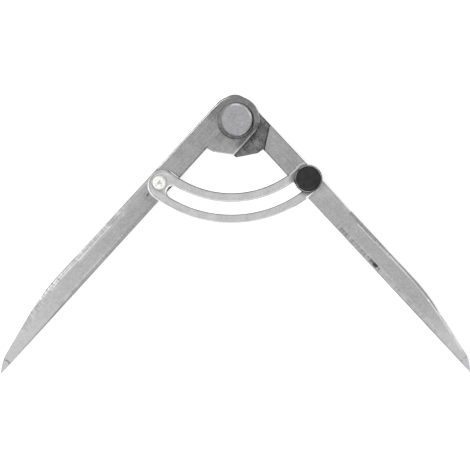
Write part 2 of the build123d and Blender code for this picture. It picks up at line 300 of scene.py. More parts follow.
# Each leg's own marks: (from, to) along it from the pivot, (from, to) outward across it, soft width and
# change of tone. Chatter has no soft width of its own. Points are a place along the leg and its tone, or
# in the taper how far the outer edge has come in.
# The tones along each leg are painted light, paler towards the point, and most lines are painted highlights
# and painted shade along the edges and bevels.
legs = {
    "left_leg": {
        "side": -1,
        "endTone": 0.12,  # painted highlight on the lap's slanted end
        # painted light, paler towards the point
        "tones": [(45, 0.245), (70, 0.263), (100, 0.297), (140, 0.352), (165, 0.385)],
        "taper": [(128, 0.0), (135, 0.4), (150, 2.6), (165, 5.4), (177, 8.6)],
        "stains": [
            ((60.3, 61.8), (7.1, 7.6), 0.5, -0.17),  # dark nick below the wing, in a fainter bar
            ((59.5, 63.0), (2.0, 9.0), 1.0, -0.04),
            ((48.3, 52.8), (0.4, 2.6), 0.2, -0.30),  # painted shadow of the wing on the leg, in the slot's end
            ((177.3, 177.9), (0.3, 4.2), 0.25, -0.22),  # line across the point
            ((9.0, 14.0), (-1.5, 1.5), 1.0, -0.05),  # dirt on the eye and below it
            ((-7.0, 9.0), (-12.0, -9.5), 1.2, -0.07),
            ((12.0, 25.0), (6.5, 10.5), 1.5, -0.025),
            ((14.0, 26.0), (-1.0, 4.0), 3.0, -0.02),
            ((37.0, 42.0), (7.5, 9.8), 2.5, 0.035),  # cleaner above the wing
            ((66.0, 78.0), (9.5, 11.5), 1.5, 0.03),  # and towards the outer bevel
            ((76.0, 112.0), (9.5, 10.8), 0.4, 0.06),
        ],
        # mostly painted highlights and painted shade along the edges and bevels
        "lines": [
            ((-6.0, 1.0), (12.6, 12.85), 0.12, 0.42),  # painted highlight on the edge's chamfer, and painted shade beside it
            ((1.0, 46.0), (12.75, 13.05), 0.12, 0.5),
            ((1.0, 30.0), (12.2, 12.45), 0.12, -0.1),
            ((-6.0, 34.0), (13.2, 13.5), 0.1, -0.15),
            ((52.0, 80.0), (11.8, 13.1), 0.4, 0.07),
            ((21.0, 50.0), (0.9, 1.7), 0.2, -0.15),
            ((60.0, 170.0), (0.0, 0.7), 0.2, -0.10),
            ((86.0, 130.0), (2.6, 2.9), 0.2, 0.08),
            ((87.0, 111.0), (10.6, 11.0), 0.2, 0.20),
            ((112.5, 133.0), (10.9, 11.3), 0.2, 0.17),
            ((88.0, 140.0), (11.3, 13.6), 0.2, 0.07),
            ((84.0, 97.0), (12.2, 12.8), 0.15, -0.05),
            ((112.0, 139.0), (12.8, 13.3), 0.15, -0.2),
        ],
        "chatter": [
            ((89.0, 150.0), (11.0, 13.6), 0.085),
            ((127.0, 160.0), (9.6, 13.4), 0.085),
            ((62.0, 135.0), (0.0, 2.6), 0.07),
        ],
        # painted light on the ground inner bevel, by where it faces
        "bevels": {"inner": [(55, 0.22), (105, 0.24), (130, 0.18), (150, 0.0)]},
        # the eye round the washer, and a painted highlight on the long edge of the lap
        "eye": {"radius": (9.5, 13.6, 2.5), "reach": (16.0, 2.0), "tone": -0.11},
        "lapEdge": {"across": (-12.0, -11.5, 0.12), "along": (-5.0, 14.0, 1.0), "tone": 0.35},
        # a painted highlight and a painted shadow line beside the wing, which slants across the leg
        "lightBesideWing": {
            "slope": 0.107,
            "across": (1.0, 6.0, 1.5),
            "lines": [((42.72, 43.1, 0.12), 1.0), ((42.0, 42.25, 0.2), -0.12)],
        },
    },
    "right_leg": {
        "side": 1,
        # painted shade on the lap's slanted end
        "endTone": -0.15,
        # painted light, paler towards the point
        "tones": [(30, 0.25), (60, 0.292), (140, 0.30), (152, 0.355), (165, 0.44)],
        "taper": [(130, 0.0), (140, 0.9), (150, 2.2), (160, 3.8), (170, 5.9), (177, 7.5)],
        "stains": [
            ((103.8, 109.3), (1.4, 2.8), 0.6, -0.17),  # burnt spot in the bevel, blackest at one end
            ((106.9, 109.1), (1.4, 2.7), 0.6, -0.13),
            ((110.6, 111.0), (0.8, 2.8), 0.3, -0.2),
            ((81.0, 86.0), (1.4, 2.4), 0.8, -0.09),  # dark start of the chatter
            ((36.0, 41.0), (3.0, 7.0), 2.0, -0.03),  # dirt above the wing
            ((57.0, 63.0), (5.0, 11.0), 2.0, 0.03),  # lighter below the knob
            ((57.0, 60.0), (1.0, 6.0), 1.5, 0.035),
            ((112.0, 152.0), (0.5, 3.2), 1.0, 0.035),
            ((177.2, 185.6), (0.0, 5.0), 0.1, 0.24),  # bright point
            ((8.0, 14.0), (-6.0, 2.0), 1.5, -0.04),  # mottled eye
            ((16.0, 20.0), (-5.0, 0.0), 1.0, 0.03),
        ],
        # mostly painted highlights and painted shade along the edges and bevels
        "lines": [
            ((22.0, 40.0), (0.4, 0.75), 0.1, 0.22),
            ((22.0, 40.0), (1.0, 1.3), 0.12, -0.1),
            ((112.0, 180.0), (0.2, 0.8), 0.2, -0.08),
            ((82.0, 120.0), (3.1, 3.4), 0.2, 0.06),
            ((92.0, 110.0), (2.0, 2.4), 0.15, -0.06),
            ((86.0, 98.2), (10.1, 10.4), 0.12, 0.25),
            ((86.0, 99.0), (10.8, 11.2), 0.15, -0.08),
            ((99.8, 109.0), (10.3, 10.8), 0.2, 0.14),
            ((110.5, 141.0), (10.8, 11.3), 0.2, 0.17),
            ((141.0, 162.0), (10.95, 11.3), 0.2, 0.22),
            ((79.0, 98.0), (11.8, 12.1), 0.15, -0.10),
            ((139.0, 157.0), (11.75, 12.1), 0.15, -0.35),
            ((166.0, 172.0), (11.4, 12.6), 1.2, 0.12),
            ((58.0, 76.0), (10.6, 11.1), 0.3, 0.03),
        ],
        "chatter": [
            ((79.0, 102.0), (0.8, 2.9), 0.09),
            ((112.0, 166.0), (0.6, 2.6), 0.07),
            ((80.0, 108.0), (10.6, 12.2), 0.14),
        ],
        # painted light on the ground bevels, by where they face
        "bevels": {
            "inner": [(100, 0.0), (125, 0.06), (150, 0.0)],
            "outer": [(56, 0.0), (60, 0.2), (68, 0.35), (77, 0.65), (97, 0.7), (103, 0.6), (120, 1.3),
                      (135, 1.3), (150, 0.9), (160, 0.4)],
        },
        # painted highlights round the knob, one below it and one above the wing
        "knobHighlights": {
            "middle": (49.6, 7.3),
            "below": {"radius": (7.45, 7.85, 0.15), "along": (54.0, 56.0)},
            "above": {"radius": (8.65, 8.9, 0.12), "along": (44.0, 42.5), "across": (6.0, 7.5)},
            "tone": 0.4,
        },
        # the lap's sunk face, black in the corner under the shoulder, darker on its edges, with a painted
        # shadow beside the other leg's lap
        "sunkLap": {
            "bottom": (2.0, 2.1),
            "top": (3.25, 3.2),
            "reach": (23.61, 23.6),
            "tone": 0.075,
            "blotchGrain": (5.0, 2.5, 2.5),
            "blotchTone": 0.05,
            "outerEdge": {"across": (11.7, 12.1), "along": (8.0, 11.0), "tone": -0.08},
            # painted shadow of the other leg's lap
            "besideLap": {"distance": (12.9, 12.3), "along": (10.0, 13.0), "tone": -0.03},
            "corner": {"along": (19.8, 24.0, 2.5), "outward": (-1.0, 2.6, 2.0), "tone": -0.02},
            "shoulder": {"slope": 0.69, "along": (21.6, 22.8), "tone": -0.08},  # it slants back outward
        },
    },
}


def alongLeg(tree, vector, side, halfOpen):
    # turned to a leg's own directions: along it from the pivot, outward across it, and up
    turn = math.radians(halfOpen)
    lengthwise = (side * math.sin(turn), -math.cos(turn), 0)
    outward = (side * math.cos(turn), math.sin(turn), 0)
    parts = []
    for direction in (lengthwise, outward, (0, 0, 1)):
        part = addNode(tree, "ShaderNodeVectorMath", {"operation": "DOT_PRODUCT"},
                       {0: vector, 1: direction})
        parts.append(part.outputs["Value"])
    return addNode(tree, "ShaderNodeCombineXYZ", inputs=dict(enumerate(parts))).outputs[0]


def drifted(tree, place, values):
    # place shifted by slow noise, so that marks get uneven outlines
    noise = addNode(tree, "ShaderNodeTexNoise",
                    inputs={"Vector": place, "Scale": values["driftScale"], "Detail": 1.0})
    shift = addNode(tree, "ShaderNodeVectorMath", {"operation": "SUBTRACT"},
                    {0: noise.outputs[1], 1: (0.5, 0.5, 0.5)})
    moved = addNode(tree, "ShaderNodeVectorMath", {"operation": "MULTIPLY_ADD"},
                    {0: shift.outputs[0], 1: values["drift"], 2: place})
    return moved.outputs[0]


def legSpot(tree, values, leg):
    # where a spot lies on the leg and where its surface faces
    place = alongLeg(tree, inMillimetres(tree), leg["side"], values["halfOpen"])
    spot = {"place": place}
    spot["straight"], spot["across"], _ = addNode(tree, "ShaderNodeSeparateXYZ", inputs={0: place}).outputs
    parts = addNode(tree, "ShaderNodeSeparateXYZ", inputs={0: drifted(tree, place, values)}).outputs
    spot["along"], spot["out"], spot["up"] = parts
    normal = addNode(tree, "ShaderNodeTexCoord").outputs["Normal"]
    facing = alongLeg(tree, normal, leg["side"], values["halfOpen"])
    parts = addNode(tree, "ShaderNodeSeparateXYZ", inputs={0: facing}).outputs
    spot["facingEnd"], spot["facingOut"], spot["facingUp"] = parts
    # distance out along the outer edge's own shape: round the crown, and in along the taper
    untapered = layered(tree, ramps(tree, spot["straight"], leg["taper"]), [(spot["across"], 1.0)])
    below = addNode(tree, "ShaderNodeMath", {"operation": "GREATER_THAN"}, {0: spot["straight"], 1: 0.0})
    edgeward = addNode(tree, "ShaderNodeMix", {"data_type": "FLOAT"},
                       {0: below.outputs[0], 2: flatRadius(tree, place), 3: untapered})
    spot["edgeward"] = edgeward.outputs[0]
    return spot


def wearAndLightLayers(tree, values, leg, spot):
    # stains, lines that are mostly painted highlights and painted shade, painted light on the ground bevels
    # and the lap's slanted end by where they face, and grinding chatter, each with its tone
    layers = []
    for lengthwise, outward, soft, tone in leg["stains"]:
        stain = times(tree, band(tree, spot["along"], *lengthwise, soft),
                      band(tree, spot["out"], *outward, soft))
        layers.append((stain, tone))

    gaps = grains(tree, spot["place"], values["gapGrain"], seed=12.0)
    broken = layered(tree, 1.0, [(gaps, values["gapWeight"])])
    outerSide = fade(tree, spot["across"], *values["outerFade"])
    for lengthwise, outward, soft, tone in leg["lines"]:
        outer = outward[0] > values["outerFrom"]
        distance = spot["edgeward"] if outer else spot["across"]
        line = times(tree, band(tree, spot["straight"], *lengthwise, values["lineEnds"]), broken,
                     band(tree, distance, *outward, soft))
        layers.append((times(tree, line, outerSide) if outer else line, tone))

    # painted light and shade by where each bevel faces
    for name, points in leg["bevels"].items():
        bevel = band(tree, spot["facingOut"], *values["bevelFacing"][name])
        layers.append((times(tree, bevel, ramps(tree, spot["straight"], points)), 1.0))
    slantedEnd = times(tree, band(tree, spot["facingEnd"], *values["endFacing"]),
                       fade(tree, spot["straight"], *values["endReach"]))
    layers.append((slantedEnd, leg["endTone"]))

    bars = grains(tree, spot["place"], values["barGrain"], detail=1.0, seed=3.0)
    for lengthwise, outward, tone in leg["chatter"]:
        distance = spot["edgeward"] if outward[0] > values["outerFrom"] else spot["across"]
        strip = times(tree, band(tree, spot["along"], *lengthwise, values["chatterEnds"]),
                      band(tree, distance, *outward, values["chatterSoft"]), bars)
        layers.append((strip, tone))
    return layers


def stainedEye(tree, eye, spot):
    # dirty round the washer, fading down the leg
    ring = band(tree, flatRadius(tree, spot["place"]), *eye["radius"])
    return times(tree, ring, fade(tree, spot["along"], *eye["reach"])), eye["tone"]


# painted highlight along the lap's long edge
def litLapEdge(tree, edge, spot):
    line = times(tree, band(tree, spot["across"], *edge["across"]),
                 band(tree, spot["straight"], *edge["along"]))
    return line, edge["tone"]


# painted highlight and painted shadow line on the leg beside the wing's edge
def paintedBesideWing(tree, paintedLight, spot):
    fromWing = layered(tree, spot["straight"], [(spot["across"], -paintedLight["slope"])])
    beside = band(tree, spot["across"], *paintedLight["across"])
    return [(times(tree, band(tree, fromWing, *along), beside), tone) for along, tone in paintedLight["lines"]]


# painted highlights on the leg round the knob
def highlightsByKnob(tree, paintedLight, spot):
    moved = addNode(tree, "ShaderNodeVectorMath", {"operation": "ADD"},
                    {0: spot["place"], 1: [-c for c in (*paintedLight["middle"], 0)]})
    fromKnob = flatRadius(tree, moved.outputs[0])
    lower = times(tree, band(tree, fromKnob, *paintedLight["below"]["radius"]),
                  fade(tree, spot["straight"], *paintedLight["below"]["along"]))
    upper = times(tree, band(tree, fromKnob, *paintedLight["above"]["radius"]),
                  fade(tree, spot["straight"], *paintedLight["above"]["along"]),
                  fade(tree, spot["across"], *paintedLight["above"]["across"]))
    return [(lower, paintedLight["tone"]), (upper, paintedLight["tone"])]


def sunkLap(tree, values, lap, spot, fine):
    # scale and old oil on the sunk face, with a painted shadow beside the other leg's lap: where it is, and
    # its tone
    sunk = times(tree, fade(tree, spot["up"], *lap["top"]), fade(tree, spot["up"], *lap["bottom"]),
                 fade(tree, spot["along"], *lap["reach"]))
    blotch = grains(tree, spot["place"], lap["blotchGrain"], detail=3.0, seed=2.0)
    edge, beside = lap["outerEdge"], lap["besideLap"]
    corner, shoulder = lap["corner"], lap["shoulder"]
    edgeDarker = times(tree, fade(tree, spot["across"], *edge["across"]),
                     fade(tree, spot["straight"], *edge["along"]))
    fromHead = towards(tree, inMillimetres(tree), -values["halfOpen"])  # out across the other leg's lap
    # painted shadow beside the other leg's lap
    lapShadow = times(tree, fade(tree, fromHead, *beside["distance"]),
                       fade(tree, spot["straight"], *beside["along"]))
    cornerDarker = times(tree, band(tree, spot["along"], *corner["along"]),
                       band(tree, spot["out"], *corner["outward"]))
    fromShoulder = layered(tree, spot["along"], [(spot["out"], shoulder["slope"])])
    tone = layered(tree, lap["tone"], [
        (blotch, lap["blotchTone"]),
        (fine, values["fineTone"]),
        (edgeDarker, edge["tone"]),
        (lapShadow, beside["tone"]),
        (cornerDarker, corner["tone"]),
        (fade(tree, fromShoulder, *shoulder["along"]), shoulder["tone"]),
    ])
    return sunk, tone


def makeLegSteel(node, values, leg):
    material, tree, shader = newMaterial(f"ground carbon steel, {node}", 1.0, values["roughness"])
    spot = legSpot(tree, values, leg)
    brush = grains(tree, spot["place"], values["brushGrain"], detail=3.0)
    mottle = grains(tree, spot["place"], values["mottleSize"], detail=3.0, seed=5.0)
    fine = grains(tree, spot["place"], values["fineSize"], detail=3.0, seed=9.0)
    tone = layered(tree, ramps(tree, spot["along"], leg["tones"]), [
        (brush, values["brushTone"]),
        (mottle, values["mottleTone"]),
        (fine, values["fineTone"]),
    ])
    layers = wearAndLightLayers(tree, values, leg, spot)
    if node == "left_leg":
        layers += paintedBesideWing(tree, leg["lightBesideWing"], spot)
        eyeLayers = [stainedEye(tree, leg["eye"], spot), litLapEdge(tree, leg["lapEdge"], spot)]
        tone = layered(tree, tone, eyeLayers)
    else:
        layers += highlightsByKnob(tree, leg["knobHighlights"], spot)
        sunk, sunkTone = sunkLap(tree, values, leg["sunkLap"], spot, fine)
        mix = addNode(tree, "ShaderNodeMix", {"data_type": "FLOAT"}, {0: sunk, 2: tone, 3: sunkTone})
        tone = mix.outputs[0]
    marks = times(tree, layered(tree, 0.0, layers), fade(tree, spot["facingUp"], *values["topFacing"]))
    tone = layered(tree, tone, [(marks, 1.0)])
    tinted(tree, shader, tone, values)
    bump = values["bump"]
    height = layered(tree, 0.0, [(brush, bump["brush"]), (fine, bump["fine"])])
    bumped(tree, shader, height, bump["depth"])
    return material


# Wing: rolled sheet steel, stamped and tumbled, pale and satin, with painted highlights and shade on its
# edges. Lengths in mm.
wingSteel = {
    "darkHex": "#7C7C7D",
    "lightHex": "#FFFFFF",
    "roughness": 0.33,
    "tone": 0.24,
    "grain": (1.2, 5.0, 1.2),  # rolling marks run along the sheet's Y
    "grainTone": 0.02,
    "grainDepth": 0.003,
    "cloudSize": 6.0,
    "cloudTone": 0.035,
    "speckleSize": 1.0,
    "speckleTone": 0.05,
    "radius": 60.4,  # middle line of the arc, which the clamp screw stands a little outside
    "screwOutside": 0.4,
    "width": 16.2,
    "slotWidth": 6.8,
    "endInside": 2.15,  # from the rivet along the arc to the middle of the round end
    "slotInside": 8.4,  # the same to the middle of the slot's end
    "middleSoft": 0.1,  # where the lower and the upper half of the arc meet
    "slotSoft": 0.2,
    # stretches of the wing by x: low, high and soft width, or where one starts and is full
    "clearOfLegs": (-30.0, 30.0, 1.5),
    "overLeft": (-30.0, -32.0),
    "overRight": (28.5, 30.0),
    "underScrew": (37.5, 38.5),
    "besideLeg": (-36.0, -29.8, 0.5),
    "alongSlot": (-27.0, 30.0, 4.0),
    "slotEndAbove": (-1.0, 0.2),
    # how bright the painted highlight on the outline is over the left leg, along the arc and round the end
    # towards a side
    "endHighlight": {"straight": 0.55, "round": (0.15, 0.75), "side": (-0.5, -0.87, 0), "reach": 0.8},
    # painted highlights and painted shade along the edges: whose edge, the distance that they follow, the
    # depths in from the edge where a line starts and is full, where it shows, and its tone
    "edges": {
        "lowerHighlight": {"of": "width", "distance": "offset", "depth": (0.9, 0.0),
                      "where": ["lower", "clearOfLegs"], "tone": 0.6},
        "slotUpperHighlight": {"of": "slotWidth", "distance": "offset", "depth": (1.0, 0.0),
                          "where": ["upper", "besideSlot", "alongSlot"], "tone": 0.6},
        "upperShade": {"of": "width", "distance": "offset", "depth": (0.6, 0.3),
                      "where": ["upper", "clearOfLegs"], "tone": -0.14},
        "slotLowerShade": {"of": "slotWidth", "distance": "offset", "depth": (0.5, 0.3),
                          "where": ["lower", "besideSlot"], "tone": -0.14},
        "overLeftHighlight": {"of": "width", "distance": "fromMiddle", "depth": (0.6, 0.4),
                         "where": ["overLeft", "endHighlight"], "tone": 1.0},
        "overRightHighlight": {"of": "width", "distance": "fromMiddle", "depth": (0.7, 0.5),
                          "where": ["overRight", "upper"], "tone": 0.7},
        "underScrewHighlight": {"of": "width", "distance": "fromMiddle", "depth": (0.9, 0.7),
                           "where": ["underScrew", "lower", "aroundKnob"], "tone": 0.8},
        "besideLegShade": {"of": "width", "distance": "fromMiddle", "depth": (0.75, 0.2), "soft": 0.15,
                          "where": ["upper", "besideLeg"], "tone": -0.2},
        "insideShade": {"of": "width", "distance": "fromMiddle", "depth": (1.1, 0.8), "soft": 0.1,
                       "where": ["overLeft"], "tone": -0.1},
        "insideHighlight": {"of": "width", "distance": "fromMiddle", "depth": (2.0, 1.6), "soft": 0.3,
                       "where": ["overLeft", "atEnd"], "tone": 0.07},
        "slotEndHighlight": {"of": "slotWidth", "distance": "fromSlotEnd", "depth": (0.4, 0.25),
                        "where": ["overLeft", "aboveSlotEnd"], "tone": 0.6},
    },
    # painted shadow of the knob and painted shade round the rivet, by the distance from the middle of the
    # clamp or of the rivet
    "knobEdge": (5.5, 7.0),  # what lies inside it is under the knob
    "knobShadow": {"radius": (10.0, 8.0), "underKnob": 0.3, "tone": -0.2},
    "upperKnobShadow": {"radius": (11.5, 9.0), "tone": -0.1},
    # painted contact shadow round the rivet head
    "rivetRing": {"radius": (3.9, 4.25, 0.15), "tone": -0.1},
    "rivetShade": {"radius": (6.6, 4.6), "side": 36.87, "reach": (0.5, -2.0), "tone": -0.07},
}


def wingPlaces(values, rivet, screw):
    # middles of the wing's arc, of its round end and of the slot's
    rivet, screw = Vector(rivet), Vector(screw)
    span = screw - rivet
    radius, outside = values["radius"], values["radius"] + values["screwOutside"]
    across = (radius**2 - outside**2 + span.length_squared) / (2 * span.length)
    upright = Vector((-span.y, span.x, 0)).normalized() * math.sqrt(radius**2 - across**2)
    middle = rivet + span.normalized() * across + upright
    arm = (rivet - middle).normalized() * radius
    places = [middle]
    for inside in (values["endInside"], values["slotInside"]):
        turn = inside / radius
        x = arm.x * math.cos(turn) - arm.y * math.sin(turn)
        y = arm.x * math.sin(turn) + arm.y * math.cos(turn)
        places.append(middle + Vector((x, y, 0)))
    return places


def wingSpot(tree, values, rivet, screw):
    # where a spot lies on the wing
    middle, end, slotEnd = wingPlaces(values, rivet, screw)
    halfSlot = values["slotWidth"] / 2
    outward = addNode(tree, "ShaderNodeMath", {"operation": "SUBTRACT"},
                      {0: flatRadius(tree, inMillimetres(tree, middle)), 1: values["radius"]}).outputs[0]
    offset = addNode(tree, "ShaderNodeMath", {"operation": "ABSOLUTE"}, {0: outward}).outputs[0]
    inEnd, inSlotEnd = inMillimetres(tree, end), inMillimetres(tree, slotEnd)
    # the round end is what lies beyond its own middle
    arm = (end - middle).normalized()
    beyond = addNode(tree, "ShaderNodeVectorMath", {"operation": "DOT_PRODUCT"},
                     {0: inEnd, 1: (arm.y, -arm.x, 0)}).outputs["Value"]
    atEnd = addNode(tree, "ShaderNodeMath", {"operation": "GREATER_THAN"}, {0: beyond, 1: 0.0}).outputs[0]
    fromMiddle = addNode(tree, "ShaderNodeMix", {"data_type": "FLOAT"},
                         {0: atEnd, 2: offset, 3: flatRadius(tree, inEnd)}).outputs[0]
    x = addNode(tree, "ShaderNodeSeparateXYZ", inputs={0: inMillimetres(tree)}).outputs[0]
    slotEndY = addNode(tree, "ShaderNodeSeparateXYZ", inputs={0: inSlotEnd}).outputs[1]
    fromScrew = flatRadius(tree, inMillimetres(tree, screw))
    soft = values["middleSoft"]
    return {
        "offset": offset,  # from the arc's middle line
        "fromMiddle": fromMiddle,  # the same, and round the end from the end's middle
        "fromSlotEnd": flatRadius(tree, inSlotEnd),
        "fromScrew": fromScrew,
        "aroundKnob": fade(tree, fromScrew, *values["knobEdge"]),
        "inRivet": inMillimetres(tree, rivet),
        "inEnd": inEnd,
        "atEnd": atEnd,
        "lower": fade(tree, outward, -soft, soft),
        "upper": fade(tree, outward, soft, -soft),
        "besideSlot": fade(tree, offset, halfSlot - values["slotSoft"], halfSlot),
        "aboveSlotEnd": fade(tree, slotEndY, *values["slotEndAbove"]),
        "clearOfLegs": band(tree, x, *values["clearOfLegs"]),
        "besideLeg": band(tree, x, *values["besideLeg"]),
        "alongSlot": band(tree, x, *values["alongSlot"]),
        "overLeft": fade(tree, x, *values["overLeft"]),
        "overRight": fade(tree, x, *values["overRight"]),
        "underScrew": fade(tree, x, *values["underScrew"]),
    }


def roundEndHighlight(tree, values, spot):
    # how bright the painted highlight on the outline is over the left leg: round the end, brighter on its
    # lower side
    highlight = values["endHighlight"]
    downward = addNode(tree, "ShaderNodeVectorMath", {"operation": "DOT_PRODUCT"},
                       {0: spot["inEnd"], 1: highlight["side"]}).outputs["Value"]
    least, most = highlight["round"]
    reach = highlight["reach"] * values["width"] / 2
    rounded = addNode(tree, "ShaderNodeMapRange", inputs={0: downward, 1: 0.0, 2: reach, 3: least, 4: most})
    either = addNode(tree, "ShaderNodeMix", {"data_type": "FLOAT"},
                     {0: spot["atEnd"], 2: highlight["straight"], 3: rounded.outputs[0]})
    return either.outputs[0]


def wingEdges(tree, values, spot):
    # painted highlights on the lower edges and painted shade on the upper ones; over a leg the outline gets
    # a painted highlight
    edges = []
    for line in values["edges"].values():
        half = values[line["of"]] / 2
        inward = 1 if line["of"] == "slotWidth" else -1
        start, full = (half + inward * depth for depth in line["depth"])
        distance = spot[line["distance"]]
        if "soft" in line:
            shape = band(tree, distance, start, full, line["soft"])
        else:
            shape = fade(tree, distance, start, full)
        edges.append((times(tree, shape, *(spot[name] for name in line["where"])), line["tone"]))
    return edges


def wingShade(tree, values, spot):
    # painted shadow of the knob round the clamp, fainter under the knob, and painted shade round the rivet
    clamp, above = values["knobShadow"], values["upperKnobShadow"]
    ring, rivet = values["rivetRing"], values["rivetShade"]
    covered = layered(tree, clamp["underKnob"], [(spot["aroundKnob"], 1 - clamp["underKnob"])])
    knobShadowMask = times(tree, fade(tree, spot["fromScrew"], *clamp["radius"]), covered)
    upperShadowMask = times(tree, fade(tree, spot["fromScrew"], *above["radius"]), spot["upper"])
    fromRivet = flatRadius(tree, spot["inRivet"])
    rivetShadeMask = times(tree, fade(tree, fromRivet, *rivet["radius"]),
                      fade(tree, towards(tree, spot["inRivet"], rivet["side"]), *rivet["reach"]))
    return [
        (knobShadowMask, clamp["tone"]),
        (upperShadowMask, above["tone"]),
        (band(tree, fromRivet, *ring["radius"]), ring["tone"]),
        (rivetShadeMask, rivet["tone"]),
    ]


def makeWingSteel(values, rivet, screw):
    material, tree, shader = newMaterial("tumbled sheet steel", 1.0, values["roughness"])
    spot = wingSpot(tree, values, rivet, screw)
    spot["endHighlight"] = roundEndHighlight(tree, values, spot)
    place = inMillimetres(tree)
    grain = grains(tree, place, values["grain"], detail=3.0)
    cloud = grains(tree, place, values["cloudSize"], seed=4.0)
    speckle = grains(tree, place, values["speckleSize"], seed=7.0)
    tone = layered(tree, values["tone"], [
        (grain, values["grainTone"]),
        (cloud, values["cloudTone"]),
        (speckle, values["speckleTone"]),
        *wingEdges(tree, values, spot),
        *wingShade(tree, values, spot),
    ])
    tinted(tree, shader, tone, values)
    bumped(tree, shader, grain, values["grainDepth"])
    return material


# Turned steel: matt from the tool and a little tarnished, speckled, with painted shade and a painted
# highlight on its rim
turnedSteel = {
    "darkHex": "#5C5C5E",
    "lightHex": "#C6C6C7",
    "roughness": 0.40,
    "tone": 0.40,
    "speckle": 1.1,
    "speckleTone": 0.1,
    "speckleDepth": 0.012,
    "cloudSize": 4.0,
    "cloudTone": 0.05,
    "headRim": (-0.5, 0.4),  # where the pivot rivet's rim starts and ends, mm out from the head's radius
    "clampRim": (5.8, 6.3),  # radii of the hidden washer's rim
    "rimSoft": 0.25,
    "rimTone": -0.12,  # painted shade on the rim where it has no painted highlight
    "rimHighlightTone": 0.62,  # painted highlight, added on the rim's bright side
    "highlightSide": 20,  # degrees from +X, where the painted highlight on the rim is brightest
    "highlightReach": (-0.6, 0.5),  # shares of the rim's inner radius towards that side
    # painted shade at the right, a nick, then a painted highlight: side in degrees, shares of the rim's
    # inner radius towards it where a mark starts and is full, from where to where it runs in mm out from
    # that radius, and its tone
    "nicksAndLight": [
        (-26, (0.62, 0.92), (-0.1, 3.0), -0.42),
        (53, (0.9, 0.97), (0.0, 3.0), -0.45),
        (27, (0.8, 0.97), (-0.6, -0.1), 0.32),
    ],
    "rimMarkSoft": 0.3,
}


def makeTurnedSteel(name, values, centre, rim):
    # the rim runs from an inner to an outer radius
    material, tree, shader = newMaterial(name, 1.0, values["roughness"])
    place = inMillimetres(tree, centre)
    radius = flatRadius(tree, place)
    speckle = grains(tree, place, values["speckle"], detail=3.0)
    cloud = grains(tree, place, values["cloudSize"], seed=4.0)
    edge = band(tree, radius, *rim, values["rimSoft"])
    # painted highlight on one side of the rim, painted shade on the rest of it
    highlightSide = towards(tree, place, values["highlightSide"])
    rimHighlight = fade(tree, highlightSide, *(share * rim[0] for share in values["highlightReach"]))
    nicksAndLight = []
    for side, shares, (inner, outer), tone in values["nicksAndLight"]:
        rimMark = times(tree, fade(tree, towards(tree, place, side), *(share * rim[0] for share in shares)),
                     band(tree, radius, rim[0] + inner, rim[0] + outer, values["rimMarkSoft"]))
        nicksAndLight.append((rimMark, tone))
    tone = layered(tree, values["tone"], [
        (speckle, values["speckleTone"]),
        (cloud, values["cloudTone"]),
        (edge, values["rimTone"]),
        (times(tree, edge, rimHighlight), values["rimHighlightTone"]),
        *nicksAndLight,
    ])
    tinted(tree, shader, tone, values)
    bumped(tree, shader, speckle, values["speckleDepth"])
    return material


# Steel washer: dark scale, with a painted shadow of the head against it on one side and painted light on
# the other
washerSteel = {
    "darkHex": "#0C0C0D",
    "lightHex": "#9A9A9B",
    "roughness": 0.4,
    "tone": 0.46,
    "stainSize": 3.0,
    "stainTone": 0.12,
    "fineSize": 1.0,
    "fineTone": 0.08,
    "shadowWidth": (1.1, 0.2),  # out from the head in mm, where the painted shadow ends and where it is full
    "shadowSide": -25,  # degrees from +X
    "shadowReach": (-1.0, 0.4),  # shares of the washer's radius towards that side
    "shadowTone": -0.42,
    "litSideTone": 0.12,  # painted light on the other side
    "rimWidth": (0.6, 0.2),
    "rimTone": -0.14,
}


def makeWasherSteel(values, centre, headRadius, rimRadius):
    material, tree, shader = newMaterial("dark steel, painted shadow of the head", 1.0, values["roughness"])
    place = inMillimetres(tree, centre)
    radius = flatRadius(tree, place)
    stain = grains(tree, place, values["stainSize"], detail=3.0)
    fine = grains(tree, place, values["fineSize"], seed=3.0)
    shadowSide = towards(tree, place, values["shadowSide"])
    towardsShadow = fade(tree, shadowSide, *(share * rimRadius for share in values["shadowReach"]))
    headShadow = times(tree, fade(tree, radius, *(headRadius + width for width in values["shadowWidth"])), towardsShadow)
    rim = fade(tree, radius, *(rimRadius - width for width in values["rimWidth"]))
    litSide = layered(tree, 1.0, [(towardsShadow, -1.0)])
    tone = layered(tree, values["tone"], [
        (stain, values["stainTone"]),
        (fine, values["fineTone"]),
        (headShadow, values["shadowTone"]),
        (rim, values["rimTone"]),
        (litSide, values["litSideTone"]),
    ])
    tinted(tree, shader, tone, values)
    return material


# Nickel-plated rivet: bright, with soft gloss, painted shade in the punch mark and painted light on its
# chamfer
platedSteel = {
    "darkHex": "#8C8C8C",
    "lightHex": "#F6F6F5",
    "roughness": 0.34,
    "bevelRoughness": 0.85,
    "tone": 0.6,
    "speckle": 0.9,
    "speckleTone": 0.22,
    "speckleDepth": 0.01,
    "punchShadeDepth": (0.6, 0.1, 0.05),  # mm below the top: from, to and soft width
    "punchShadeRadius": (2.2, 1.9),
    "punchShadeTone": -0.34,
    # painted light on the chamfer, by where it faces
    "bevelFacing": (0.2, 0.9, 0.05),  # upward part of the normal
    "bevelTone": 0.5,
}


